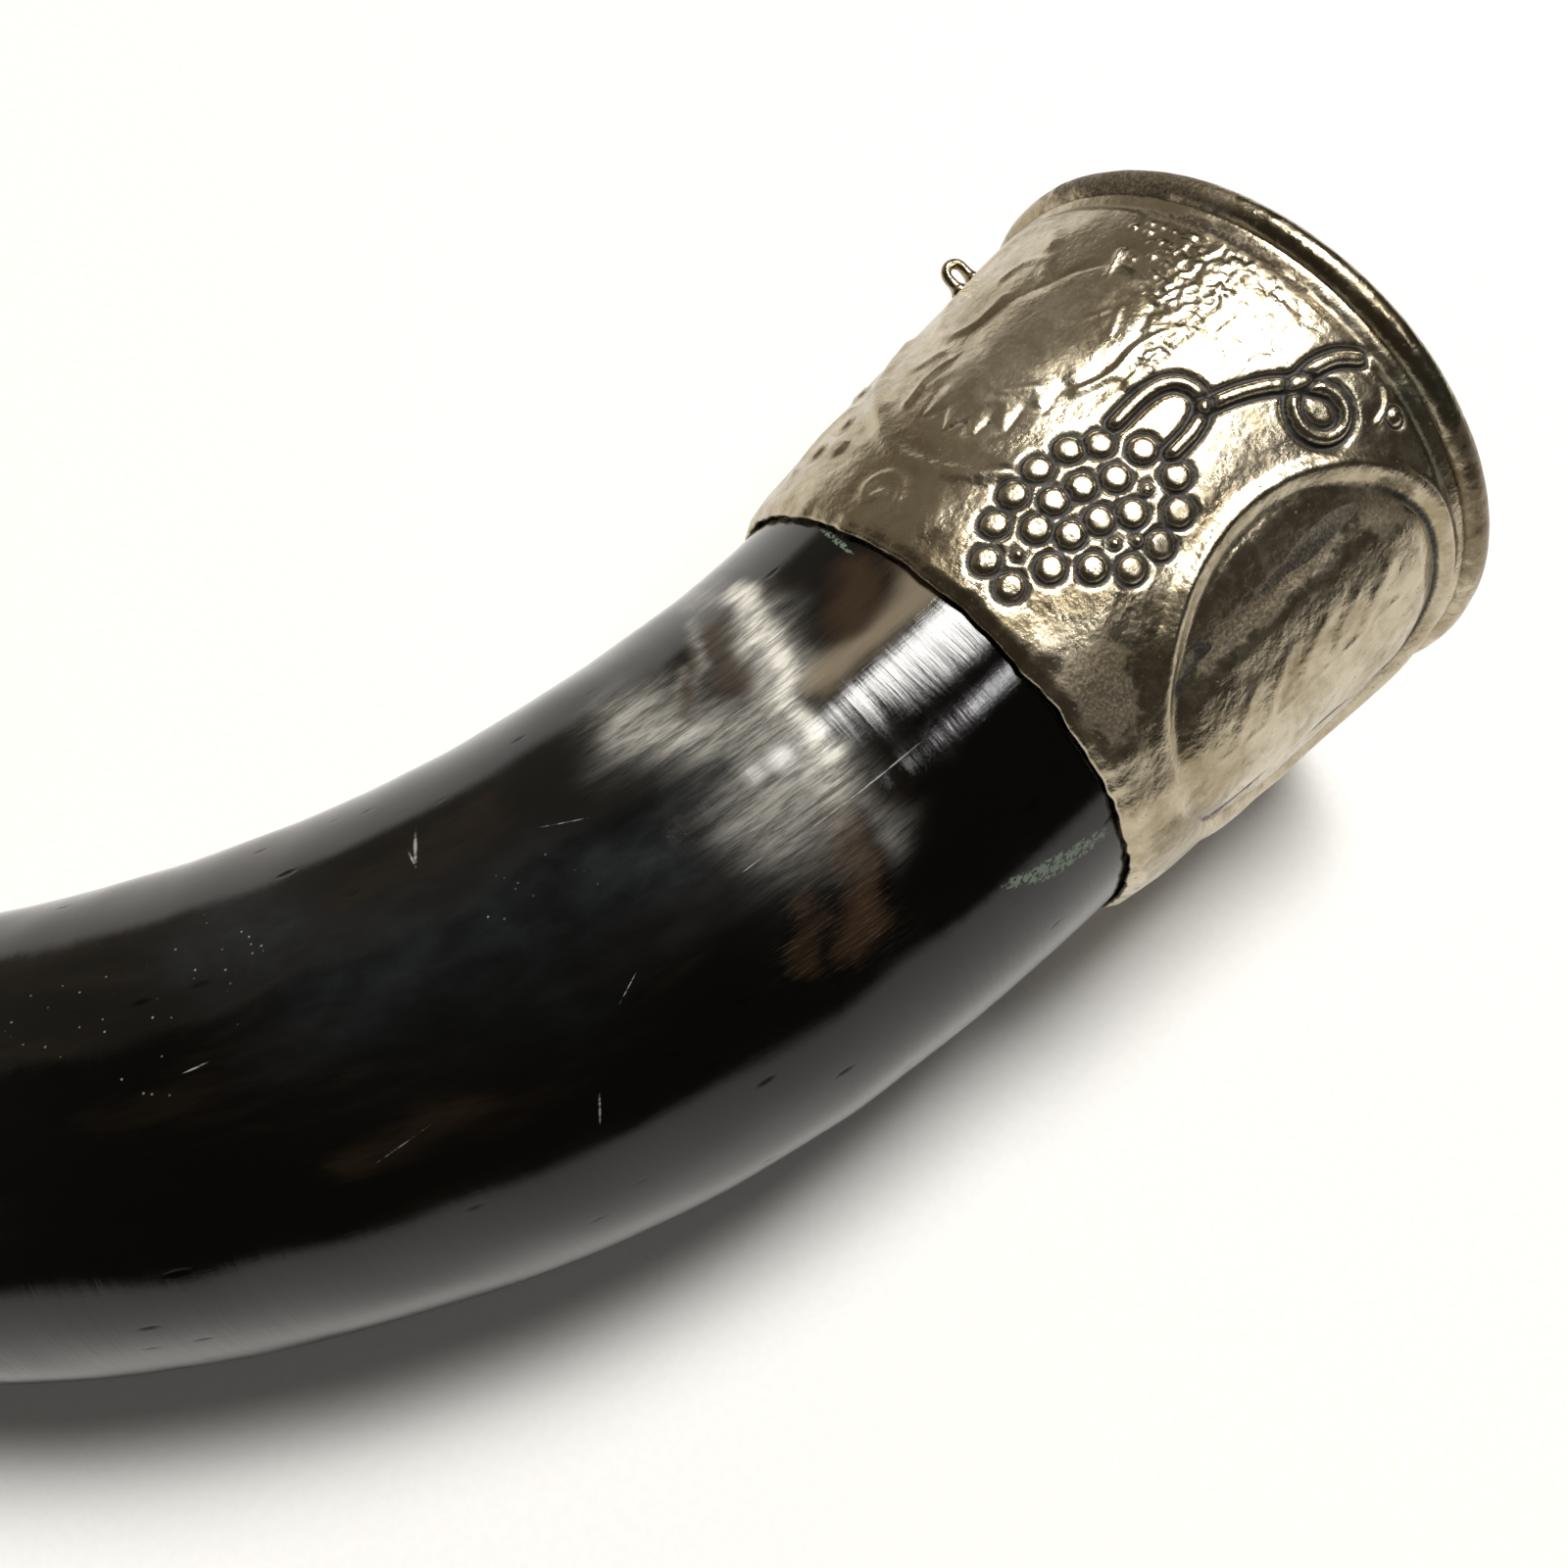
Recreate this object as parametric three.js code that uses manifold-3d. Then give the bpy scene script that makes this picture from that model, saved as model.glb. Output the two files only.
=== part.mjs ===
// A shofar: an ox horn, bored from end to end, whose bell wears an embossed metal collar and whose
// neck wears a narrow metal ferrule. Each fitting carries a wire eyelet for a carrying chain.
// Millimetres, +Z up. The horn lies on its side on a table, its bell opens towards +X and its neck
// bends away towards +Y. The origin is on the table, under the middle of the horn.
import * as THREE from "three";
import { mergeVertices } from "three/addons/utils/BufferGeometryUtils.js";
import Module from "manifold-3d";

const wasm = await Module();
wasm.setup();

// The horn's line starts in the middle of the rim, runs straight through the collar and then bends.
const HORN_LENGTH = 318;
const COLLAR_LENGTH = 47.4;
// How sharply the line bends, in degrees per millimetre, behind the collar, half way and at the tip.
const BEND_BEHIND_COLLAR = 0.36;
const BEND_HALF_WAY = 0.41;
const BEND_AT_TIP = 0.2;

// The attitude in which the horn comes to rest on a table, as turns about X, then Y, in degrees.
const REST_TURN_X = -2.15;
const REST_TURN_Y = -4.09;

const RIM_RADIUS = 33;
const RIM_TUBE_RADIUS = 1.8;
const RIM_TUBE_WALL = 0.5;
const SHEET = 0.7;
const GAP = 0.3;
const HORN_MOUTH = 2.6; // how far the horn's sawn mouth lies behind the middle of the rim
const BORE_RADIUS = 3; // of the hole drilled through the solid tip
const CUP_RADIUS = 7.2; // of the mouthpiece cup at its lip
const CUP_DEPTH = 10;

const FERRULE_START = 281; // along the horn's line
const FERRULE_LENGTH = 20;
const EDGE_WIRE_RADIUS = 0.9;

const EYE_WIRE_RADIUS = 0.5;
const EYE_HALF_WIDTH = 1.1; // from the middle of the eyelet to the middle of each leg
const EYE_AROUND = 160; // degrees round the horn from its outer curve, over the top
const EYE_RISE = 3.2; // from the sheet to the top of the loop
const BELL_EYE_AT = 10; // along the horn's line
const BELL_EYE_LEG = 1.4; // below the sheet, in the cement
const FERRULE_EYE_LEG = 3; // below the sheet, in the horn

const SIDES = 36; // of every round part, so that nested parts keep an even gap
const WIRE_CORNERS = 8; // of every wire's section

// Outlines as [distance along the horn's line, radius].
const HORN_OUTSIDE = [
  [HORN_MOUTH, 28.3],
  [25, 27.2],
  [COLLAR_LENGTH, 26.25],
  [97, 25],
  [147, 21.8],
  [200, 17.4],
  [250, 13.1],
  [290, 9.9],
  [306, 8.7],
  [HORN_LENGTH, 9.2],
];
const HORN_HOLLOW = [
  [HORN_MOUTH, 25.2],
  [COLLAR_LENGTH, 22.9],
  [97, 21.2],
  [147, 17.3],
  [190, 12.6],
  [220, 8.4],
  [240, 5],
  [252, BORE_RADIUS],
];
const COLLAR_OUTSIDE = [
  [0.6, RIM_RADIUS - RIM_TUBE_RADIUS + SHEET / 2],
  [6, 31.4],
  [23.7, 30.05],
  [40, 28.5],
  [44.5, 27.95],
  [COLLAR_LENGTH, 27.3],
];

const KERATIN = { color: 0x231f1b, roughness: 0.25, metalness: 0 };
const SILVER = { color: 0xa0927c, roughness: 0.28, metalness: 1 };
const PITCH = { color: 0x15110e, roughness: 0.8, metalness: 0 };

// The line of the horn, worked out in small steps. It lies in the XY plane, starts at the origin
// towards -X and bends towards +Y.
const LINE_STEP = 0.5;
const line = [{ x: 0, y: 0, heading: Math.PI }];
for (let s = 0; s < HORN_LENGTH; s += LINE_STEP) {
  const { x, y, heading } = line[line.length - 1];
  line.push({
    x: x + LINE_STEP * Math.cos(heading),
    y: y + LINE_STEP * Math.sin(heading),
    heading: heading - LINE_STEP * bendAt(s),
  });
}

// Radians per millimetre: a parabola through the three driving bends.
function bendAt(s) {
  if (s < COLLAR_LENGTH) return 0;
  const u = (s - COLLAR_LENGTH) / (HORN_LENGTH - COLLAR_LENGTH);
  const degrees =
    BEND_BEHIND_COLLAR * (1 - u) * (1 - 2 * u) +
    BEND_HALF_WAY * 4 * u * (1 - u) +
    BEND_AT_TIP * u * (2 * u - 1);
  return THREE.MathUtils.degToRad(degrees);
}

// The place and the directions at distance s along the line. Before the rim the line runs on straight.
function frameAt(s) {
  const at = THREE.MathUtils.clamp(s / LINE_STEP, 0, line.length - 1.001);
  const a = line[Math.floor(at)];
  const b = line[Math.floor(at) + 1];
  const share = at - Math.floor(at);
  const heading = THREE.MathUtils.lerp(a.heading, b.heading, share);
  const along = new THREE.Vector3(Math.cos(heading), Math.sin(heading), 0);
  const outer = new THREE.Vector3(-Math.sin(heading), Math.cos(heading), 0);
  const place = new THREE.Vector3(
    THREE.MathUtils.lerp(a.x, b.x, share),
    THREE.MathUtils.lerp(a.y, b.y, share),
    0,
  ).addScaledVector(along, Math.min(0, s));
  return { place, along, outer };
}

// A smooth outline through points, as count + 1 of them.
function smooth(points, count) {
  return new THREE.SplineCurve(
    points.map(([s, r]) => new THREE.Vector2(s, r)),
  ).getPoints(count);
}

// The outline's radius at distance s.
function radiusAt(points, s) {
  const outline = smooth(points, 200);
  const i = Math.max(
    1,
    outline.findIndex((p) => p.x >= s),
  );
  const [a, b] = [outline[i - 1], outline[i]];
  return THREE.MathUtils.mapLinear(s, a.x, b.x, a.y, b.y);
}

function offset(outline, distance) {
  return outline.map((p) => new THREE.Vector2(p.x, p.y + distance));
}

// A closed outline of (distance, radius) points, turned about the horn's line and bent along it. The
// outline runs away from the rim on its outside and back on its inside.
function turned(outline) {
  const profile = outline.map((p) => new THREE.Vector2(p.y, p.x));
  profile.push(profile[0].clone());
  const geometry = new THREE.LatheGeometry(profile, SIDES);
  const position = geometry.getAttribute("position");
  const vertex = new THREE.Vector3();
  for (let i = 0; i < position.count; i++) {
    vertex.fromBufferAttribute(position, i);
    const { place, outer } = frameAt(vertex.y);
    place.addScaledVector(outer, vertex.x);
    position.setXYZ(i, place.x, place.y, -vertex.z);
  }
  return geometry;
}

// A sheet-metal band: its outer outline, and the same one a sheet's thickness further in.
function band(outline) {
  return turned([...outline, ...offset(outline, -SHEET).reverse()]);
}

// A ring of round section about the horn's line.
function wireRing(s, radius, wireRadius) {
  const circle = [];
  for (let i = 0; i < WIRE_CORNERS; i++) {
    const angle = (-2 * Math.PI * i) / WIRE_CORNERS;
    circle.push(
      new THREE.Vector2(
        s + wireRadius * Math.cos(angle),
        radius + wireRadius * Math.sin(angle),
      ),
    );
  }
  return turned(circle);
}

// manifold-3d's solid of a geometry, and a geometry of a solid.
function solidOf(geometry) {
  const bare = new THREE.BufferGeometry().setAttribute(
    "position",
    geometry.getAttribute("position"),
  );
  bare.setIndex(geometry.index);
  const merged = mergeVertices(bare, 1e-3);
  return new wasm.Manifold(
    new wasm.Mesh({
      numProp: 3,
      vertProperties: merged.getAttribute("position").array,
      triVerts: new Uint32Array(merged.index.array),
    }),
  );
}

function geometryOf(solid) {
  const mesh = solid.getMesh();
  return new THREE.BufferGeometry()
    .setAttribute("position", new THREE.BufferAttribute(mesh.vertProperties, 3))
    .setIndex(new THREE.BufferAttribute(mesh.triVerts, 1));
}

// The place on a surface of that radius where an eyelet stands, and its directions.
function eyeFrame(s, radius) {
  const { place, along, outer } = frameAt(s);
  const around = THREE.MathUtils.degToRad(EYE_AROUND);
  const out = outer.multiplyScalar(Math.cos(around));
  out.z = Math.sin(around);
  return { base: place.addScaledVector(out, radius), along, out };
}

// One line or half circle of wire in the eyelet's own plane.
class EyePath extends THREE.Curve {
  constructor({ base, along, out }, rise, leg) {
    super();
    Object.assign(this, { base, along, out, rise, leg });
  }
  getPoint(t, target = new THREE.Vector3()) {
    const straight = this.rise - EYE_WIRE_RADIUS - EYE_HALF_WIDTH + this.leg;
    const bow = Math.PI * EYE_HALF_WIDTH;
    const run = t * (2 * straight + bow);
    const turn = THREE.MathUtils.clamp((run - straight) / bow, 0, 1) * Math.PI;
    const up =
      Math.min(run, straight) -
      Math.max(0, run - straight - bow) +
      EYE_HALF_WIDTH * Math.sin(turn) -
      this.leg;
    return target
      .copy(this.base)
      .addScaledVector(this.out, up)
      .addScaledVector(this.along, -EYE_HALF_WIDTH * Math.cos(turn));
  }
}

function eyelet(frame, rise, leg, wireRadius) {
  const circle = new THREE.EllipseCurve(0, 0, wireRadius, wireRadius);
  return new THREE.ExtrudeGeometry(new THREE.Shape(circle.getPoints(WIRE_CORNERS)), {
    steps: 24,
    extrudePath: new EyePath(frame, rise, leg),
  });
}

// The horn, from its outside and its hollow. The hollow ends in a drilled bore and the cup.
function hornShape() {
  const cup = new THREE.EllipseCurve(
    HORN_LENGTH,
    BORE_RADIUS,
    CUP_DEPTH,
    CUP_RADIUS - BORE_RADIUS,
    Math.PI,
    Math.PI / 2,
    true,
  );
  const hollow = [...smooth(HORN_HOLLOW, 16), ...cup.getPoints(4)];
  return turned([...smooth(HORN_OUTSIDE, 26), ...hollow.reverse()]);
}

// A tube slotted along its inner side, which caps the raw edge of the collar's sheet.
function rimTube() {
  const middle = [0, RIM_RADIUS - RIM_TUBE_RADIUS];
  const slot = Math.asin((SHEET / 2 + GAP) / (RIM_TUBE_RADIUS - RIM_TUBE_WALL));
  const [from, to] = [2 * Math.PI - slot, slot];
  const outside = new THREE.EllipseCurve(
    ...middle,
    RIM_TUBE_RADIUS,
    RIM_TUBE_RADIUS,
    from,
    to,
    true,
  );
  const inner = RIM_TUBE_RADIUS - RIM_TUBE_WALL;
  const inside = new THREE.EllipseCurve(...middle, inner, inner, to, from);
  return turned([...outside.getPoints(11), ...inside.getPoints(7)]);
}

// What fills the space between the horn and the collar.
function collarCement() {
  const [start, end] = [4, 41];
  const steps = 4;
  const outside = [];
  const inside = [];
  for (let i = 0; i <= steps; i++) {
    const s = THREE.MathUtils.lerp(start, end, i / steps);
    const sheetInside = radiusAt(COLLAR_OUTSIDE, s) - SHEET;
    outside.push(new THREE.Vector2(s, sheetInside - GAP));
    inside.unshift(new THREE.Vector2(s, radiusAt(HORN_OUTSIDE, s) + GAP));
  }
  return turned([...outside, ...inside]);
}

// The ferrule follows the horn at a constant clearance.
function ferruleOutline(extra, from, to, steps) {
  const outline = [];
  for (let i = 0; i <= steps; i++) {
    const s = THREE.MathUtils.lerp(from, to, i / steps);
    outline.push(new THREE.Vector2(s, radiusAt(HORN_OUTSIDE, s) + extra));
  }
  return outline;
}

function ferruleSheet() {
  const end = FERRULE_START + FERRULE_LENGTH;
  const extra = GAP + SHEET;
  return band(ferruleOutline(extra, FERRULE_START, end, 4));
}

function ferruleWire(s) {
  const sheetOutside = radiusAt(HORN_OUTSIDE, s) + GAP + SHEET;
  return wireRing(s, sheetOutside + GAP + EDGE_WIRE_RADIUS, EDGE_WIRE_RADIUS);
}

// ---- the assembly ----

const shofar = new THREE.Group();

function add(name, geometry, look) {
  const mesh = new THREE.Mesh(geometry, new THREE.MeshStandardMaterial(look));
  mesh.name = name;
  shofar.add(mesh);
}

// Each eyelet's legs go through the sheet and end in what lies under it, in holes with clearance.
const bellEye = eyeFrame(BELL_EYE_AT, radiusAt(COLLAR_OUTSIDE, BELL_EYE_AT));
const ferruleMiddle = FERRULE_START + FERRULE_LENGTH / 2;
const ferruleEye = eyeFrame(
  ferruleMiddle,
  radiusAt(HORN_OUTSIDE, ferruleMiddle) + GAP + SHEET,
);
const legRoom = EYE_WIRE_RADIUS + GAP;
const bellHoles = solidOf(eyelet(bellEye, EYE_RISE, BELL_EYE_LEG + GAP, legRoom));
const ferruleHoles = solidOf(
  eyelet(ferruleEye, EYE_RISE, FERRULE_EYE_LEG + GAP, legRoom),
);

function drilled(geometry, holes) {
  return geometryOf(solidOf(geometry).subtract(holes));
}

add("horn_body", drilled(hornShape(), ferruleHoles), KERATIN);
add("collar_sleeve", drilled(band(smooth(COLLAR_OUTSIDE, 9)), bellHoles), SILVER);
add("collar_cement", drilled(collarCement(), bellHoles), PITCH);
add("rim_tube", rimTube(), SILVER);
add("bell_eyelet", eyelet(bellEye, EYE_RISE, BELL_EYE_LEG, EYE_WIRE_RADIUS), SILVER);
add("neck_ferrule", drilled(ferruleSheet(), ferruleHoles), SILVER);
add("ferrule_wire_bell_side", ferruleWire(FERRULE_START + EDGE_WIRE_RADIUS), SILVER);
add(
  "ferrule_wire_mouth_side",
  ferruleWire(FERRULE_START + FERRULE_LENGTH - EDGE_WIRE_RADIUS),
  SILVER,
);
add("ferrule_eyelet", eyelet(ferruleEye, EYE_RISE, FERRULE_EYE_LEG, EYE_WIRE_RADIUS), SILVER);

// Lay the horn down in its rest attitude and put the origin on the table under its middle.
const restTurns = [REST_TURN_X, REST_TURN_Y, 0].map(THREE.MathUtils.degToRad);
shofar.rotation.set(...restTurns, "ZYX");
const box = new THREE.Box3().setFromObject(shofar, true);
const middle = box.getCenter(new THREE.Vector3());
shofar.position.set(-middle.x, -middle.y, -box.min.z);

export default shofar;
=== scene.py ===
"""The looks of a shofar, in Blender 4.5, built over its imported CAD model.

Shapes are worked out in "horn space", in millimetres and degrees, and then bent into place:
  s      distance along the horn's line, from the middle of the rim towards the mouthpiece
  theta  angle round the line: 0 on the outside of the bend, 90 on top of the resting horn
  r      distance from the line
"""

import math

import bpy
import numpy as np
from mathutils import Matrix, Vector, noise


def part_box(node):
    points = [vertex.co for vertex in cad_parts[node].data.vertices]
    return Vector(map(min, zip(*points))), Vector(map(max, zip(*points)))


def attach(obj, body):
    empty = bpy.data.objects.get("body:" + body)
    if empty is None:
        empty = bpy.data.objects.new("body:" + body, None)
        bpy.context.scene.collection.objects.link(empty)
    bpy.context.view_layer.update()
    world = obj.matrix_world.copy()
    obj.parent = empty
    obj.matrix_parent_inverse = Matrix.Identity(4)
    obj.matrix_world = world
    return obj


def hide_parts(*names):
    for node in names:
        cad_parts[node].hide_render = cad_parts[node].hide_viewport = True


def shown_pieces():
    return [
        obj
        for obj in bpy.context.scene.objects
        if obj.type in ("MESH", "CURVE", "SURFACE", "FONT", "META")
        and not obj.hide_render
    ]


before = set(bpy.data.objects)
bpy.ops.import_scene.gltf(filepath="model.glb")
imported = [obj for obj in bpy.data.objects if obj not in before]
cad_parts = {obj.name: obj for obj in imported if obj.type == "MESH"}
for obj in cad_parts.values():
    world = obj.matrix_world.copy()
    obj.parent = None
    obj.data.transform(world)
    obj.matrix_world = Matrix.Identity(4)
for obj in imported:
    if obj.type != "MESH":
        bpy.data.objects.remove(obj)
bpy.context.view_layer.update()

MM = 0.001

# ---- the horn's line, as in the CAD model ----

HORN_LENGTH = 318
COLLAR_LENGTH = 47.4
BENDS = (0.36, 0.41, 0.2)  # degrees per mm behind the collar, half way and at the tip
REST_TURN_X = -2.15  # degrees, how the horn comes to rest on the table
REST_TURN_Y = -4.09
RIM_RADIUS = 33
RIM_TUBE_RADIUS = 1.8
SHEET = 0.7
HORN_MOUTH = 2.6
BORE_RADIUS = 3
CUP_RADIUS = 7.2
CUP_DEPTH = 10
FERRULE_START = 281
FERRULE_LENGTH = 20
EDGE_WIRE_RADIUS = 0.9
GAP = 0.3
EYE_AROUND = 160  # degrees
EYE_RISE = 3.2
EYE_HALF_WIDTH = 1.1
EYE_WIRE_RADIUS = 0.5
BELL_EYE_AT = 10
BELL_EYE_LEG = 1.4
FERRULE_EYE_LEG = 3
FLAT_RADIUS = 30  # the mean radius at which the surface is rolled flat

HORN_OUTSIDE = [
    (HORN_MOUTH, 28.3),
    (25, 27.2),
    (COLLAR_LENGTH, 26.25),
    (97, 25),
    (147, 21.8),
    (200, 17.4),
    (250, 13.1),
    (290, 9.9),
    (306, 8.7),
    (HORN_LENGTH, 9.2),
]
HORN_HOLLOW = [
    (HORN_MOUTH, 25.2),
    (COLLAR_LENGTH, 22.9),
    (97, 21.2),
    (147, 17.3),
    (190, 12.6),
    (220, 8.4),
    (240, 5),
    (252, BORE_RADIUS),
]
COLLAR_OUTSIDE = [(1.2, 31.5), (6, 31.4), (23.7, 30.05), (40, 28.5), (44.5, 27.95), (47.4, 27.3)]

RIM_CENTRE = sum(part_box("rim_tube"), Vector()) / 2


def smooth_radius(outline, s):
    """The radius at s of a smooth curve through an outline's points."""
    points = np.array(outline, float)
    slopes = np.gradient(points[:, 1], points[:, 0])
    i = np.clip(np.searchsorted(points[:, 0], s) - 1, 0, len(points) - 2)
    width = points[i + 1, 0] - points[i, 0]
    u = np.clip((s - points[i, 0]) / width, 0, 1)
    near = (1 + 2 * u) * (1 - u) ** 2 * points[i, 1] + u * (1 - u) ** 2 * width * slopes[i]
    far = u * u * (3 - 2 * u) * points[i + 1, 1] - u * u * (1 - u) * width * slopes[i + 1]
    return near + far


def turn_about(axis, degrees):
    cos, sin = math.cos(math.radians(degrees)), math.sin(math.radians(degrees))
    if axis == "x":
        return np.array([[1, 0, 0], [0, cos, -sin], [0, sin, cos]])
    return np.array([[cos, 0, sin], [0, 1, 0], [-sin, 0, cos]])


REST = turn_about("y", REST_TURN_Y) @ turn_about("x", REST_TURN_X)
LINE_STEP = 0.5
LINE_S = np.arange(0, HORN_LENGTH + LINE_STEP, LINE_STEP)


def bend_at(s):
    """Radians per millimetre: a parabola through the three driving bends."""
    u = (s - COLLAR_LENGTH) / (HORN_LENGTH - COLLAR_LENGTH)
    bends = BENDS[0] * (1 - u) * (1 - 2 * u) + BENDS[1] * 4 * u * (1 - u) + BENDS[2] * u * (2 * u - 1)
    return np.where(s < COLLAR_LENGTH, 0, np.radians(bends))


LINE_HEADING = math.pi - np.concatenate([[0], np.cumsum(bend_at(LINE_S[:-1]) * LINE_STEP)])
LINE_X = np.concatenate([[0], np.cumsum(LINE_STEP * np.cos(LINE_HEADING[:-1]))])
LINE_Y = np.concatenate([[0], np.cumsum(LINE_STEP * np.sin(LINE_HEADING[:-1]))])


def placed(s, theta, r):
    """Horn space to the row's frame, in metres. theta is in degrees."""
    heading = np.interp(s, LINE_S, LINE_HEADING)
    before_rim = np.minimum(s, 0)
    x = np.interp(s, LINE_S, LINE_X) + before_rim * np.cos(heading)
    y = np.interp(s, LINE_S, LINE_Y) + before_rim * np.sin(heading)
    out = r * np.cos(np.radians(theta))
    up = r * np.sin(np.radians(theta))
    local = np.stack([x - out * np.sin(heading), y + out * np.cos(heading), up], -1)
    return local @ REST.T * MM + np.array(RIM_CENTRE)


# ---- meshes ----


def new_object(name, vertices, faces, material, replaced):
    mesh = bpy.data.meshes.new(name)
    mesh.from_pydata(vertices.tolist(), [], faces)
    mesh.materials.append(material)
    mesh.shade_smooth()
    piece = bpy.data.objects.new(name, mesh)
    bpy.context.scene.collection.objects.link(piece)
    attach(piece, "root")
    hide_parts(*replaced)
    return piece


def add_attribute(piece, name, values):
    kind, key = ("FLOAT", "value") if values.ndim == 1 else ("FLOAT_VECTOR", "vector")
    attribute = piece.data.attributes.new(name, kind, "POINT")
    attribute.data.foreach_set(key, np.ascontiguousarray(values, np.float32).ravel())


def ring_faces(rows, columns):
    """Quads of a grid that closes on itself both ways."""
    i, j = np.meshgrid(np.arange(rows), np.arange(columns), indexing="ij")
    right, down = (j + 1) % columns, (i + 1) % rows
    corners = [i * columns + j, i * columns + right, down * columns + right, down * columns + j]
    return np.stack(corners, -1).reshape(-1, 4).tolist()


def horn_space_attributes(piece, s, theta, r):
    """What the materials read: the surface rolled flat, and the horn as if it weren't bent, in mm."""
    from_bottom = (theta + 90) % 360 - 90
    arc = np.radians(from_bottom) * FLAT_RADIUS
    add_attribute(piece, "flat", np.stack([arc, s, 0 * s], -1).reshape(-1, 3))
    out, up = r * np.cos(np.radians(theta)), r * np.sin(np.radians(theta))
    add_attribute(piece, "straight", np.stack([s, out, up], -1).reshape(-1, 3))


def revolved(name, s, theta, r, material, replaced, masks=None):
    """A closed profile turned about the horn's line. s and r are grids of [profile point, angle]."""
    theta = np.broadcast_to(theta, s.shape)
    vertices = placed(s, theta, r).reshape(-1, 3)
    piece = new_object(name, vertices, ring_faces(*s.shape), material, replaced)
    horn_space_attributes(piece, s, theta, r)
    for mask_name, values in (masks or {}).items():
        add_attribute(piece, mask_name, values.ravel())
    return piece


def wobble(s, theta, r, scale, seed):
    """Smooth noise over a grid in horn space, from -1 to 1, with features about scale mm across."""
    out, up = r * np.cos(np.radians(theta)), r * np.sin(np.radians(theta))
    points = np.stack([s / scale, out / scale, up / scale + seed * 17.3], -1).reshape(-1, 3)
    return np.array([noise.noise(p) for p in points.tolist()]).reshape(s.shape) * 1.6


# ---- the collar's relief, worked out on a fine map that repeats twice round the horn ----

MAP_FROM = -18  # degrees
MAP_SPAN = 180
MAP_COLUMNS = 760
MAP_ROWS = 380
MM_PER_DEGREE = math.radians(1) * FLAT_RADIUS
CURVE_STEPS = 8  # between two points of a curve

map_theta = MAP_FROM + np.arange(MAP_COLUMNS) * MAP_SPAN / MAP_COLUMNS
map_s = np.linspace(0, COLLAR_LENGTH, MAP_ROWS)
THETA, S = np.meshgrid(map_theta, map_s)
ARC = THETA * MM_PER_DEGREE


def step(low, high, values):
    u = np.clip((values - low) / (high - low), 0, 1)
    return u * u * (3 - 2 * u)


def curve_through(points):
    """A smooth line through (theta, s) points, as millimetres on the flat map."""
    p = np.array(points, float) * [MM_PER_DEGREE, 1]
    p = np.concatenate([[2 * p[0] - p[1]], p, [2 * p[-1] - p[-2]]])
    t = np.linspace(0, 1, CURVE_STEPS, endpoint=False)[:, None]
    spans = []
    for a, b, c, d in zip(p, p[1:], p[2:], p[3:]):
        bend = (2 * a - 5 * b + 4 * c - d) * t**2
        twist = (3 * b - a - 3 * c + d) * t**3
        spans.append(0.5 * (2 * b + (c - a) * t + bend + twist))
    return np.concatenate([*spans, p[-2:-1]])


def distance_to(line):
    """How far every map point is from a line of points, in mm."""
    best = np.full(ARC.shape, 1e6)
    reach = 4  # mm round the line's own box, beyond which nothing shows
    low, high = line.min(0) - reach, line.max(0) + reach
    near = (ARC > low[0]) & (ARC < high[0]) & (S > low[1]) & (S < high[1])
    x, y = ARC[near], S[near]
    found = np.full(x.shape, 1e6)
    for (ax, ay), (bx, by) in zip(line, line[1:]):
        dx, dy = bx - ax, by - ay
        along = np.clip(((x - ax) * dx + (y - ay) * dy) / max(dx * dx + dy * dy, 1e-9), 0, 1)
        found = np.minimum(found, np.hypot(x - ax - along * dx, y - ay - along * dy))
    best[near] = found
    return best


relief = np.zeros(ARC.shape)  # what stands proud, in mm
cuts = np.zeros(ARC.shape)  # what is punched in, in mm


def raise_to(height):
    global relief
    relief = np.maximum(relief, height)


def cut_to(depth):
    global cuts
    cuts = np.maximum(cuts, depth)


def chased_ridge(line, width, height, groove):
    """A flat-topped ridge with a punched line down each side."""
    distance = distance_to(line)
    half = width / 2
    raise_to(height * np.clip(1 - (distance / half) ** 4, 0, 1))
    cut_to(groove * np.exp(-(((distance - half - 0.22) / 0.3) ** 2)))


def soft_ridge(line, half_width, height):
    raise_to(height * np.exp(-((distance_to(line) / half_width) ** 2)))


def dome(theta, s, radius, height, groove=0.26):
    """A bead with a nearly flat top, punched round its edge."""
    distance = np.hypot(ARC - theta * MM_PER_DEGREE, S - s)
    raise_to(height * np.clip(1 - (distance / radius) ** 5, 0, 1))
    cut_to(groove * np.exp(-(((distance - radius - 0.1) / 0.26) ** 2)))


def inside(line):
    """Which map points lie inside a closed line."""
    within = np.zeros(ARC.shape, bool)
    for (ax, ay), (bx, by) in zip(line, np.roll(line, -1, 0)):
        if ay != by:
            crosses = (ay > S) != (by > S)
            within ^= crosses & (ARC < (bx - ax) * (S - ay) / (by - ay) + ax)
    return within


# A round medallion with a raised tablet in the middle of it, and a trough between the two.
MEDALLION = (26.7, 23)
MEDALLION_RADIUS = 19.8
TABLET_HALF = (9.4, 15.4)
TABLET_CORNER = 6

from_medallion = np.hypot(ARC - MEDALLION[0] * MM_PER_DEGREE, S - MEDALLION[1])
fading = 1 - 0.9 * step(33, 42, S)  # its ring is nearly gone at the collar's narrow end
raise_to(0.62 * fading * np.exp(-(((from_medallion - MEDALLION_RADIUS + 0.3) / 0.85) ** 2)))

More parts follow.
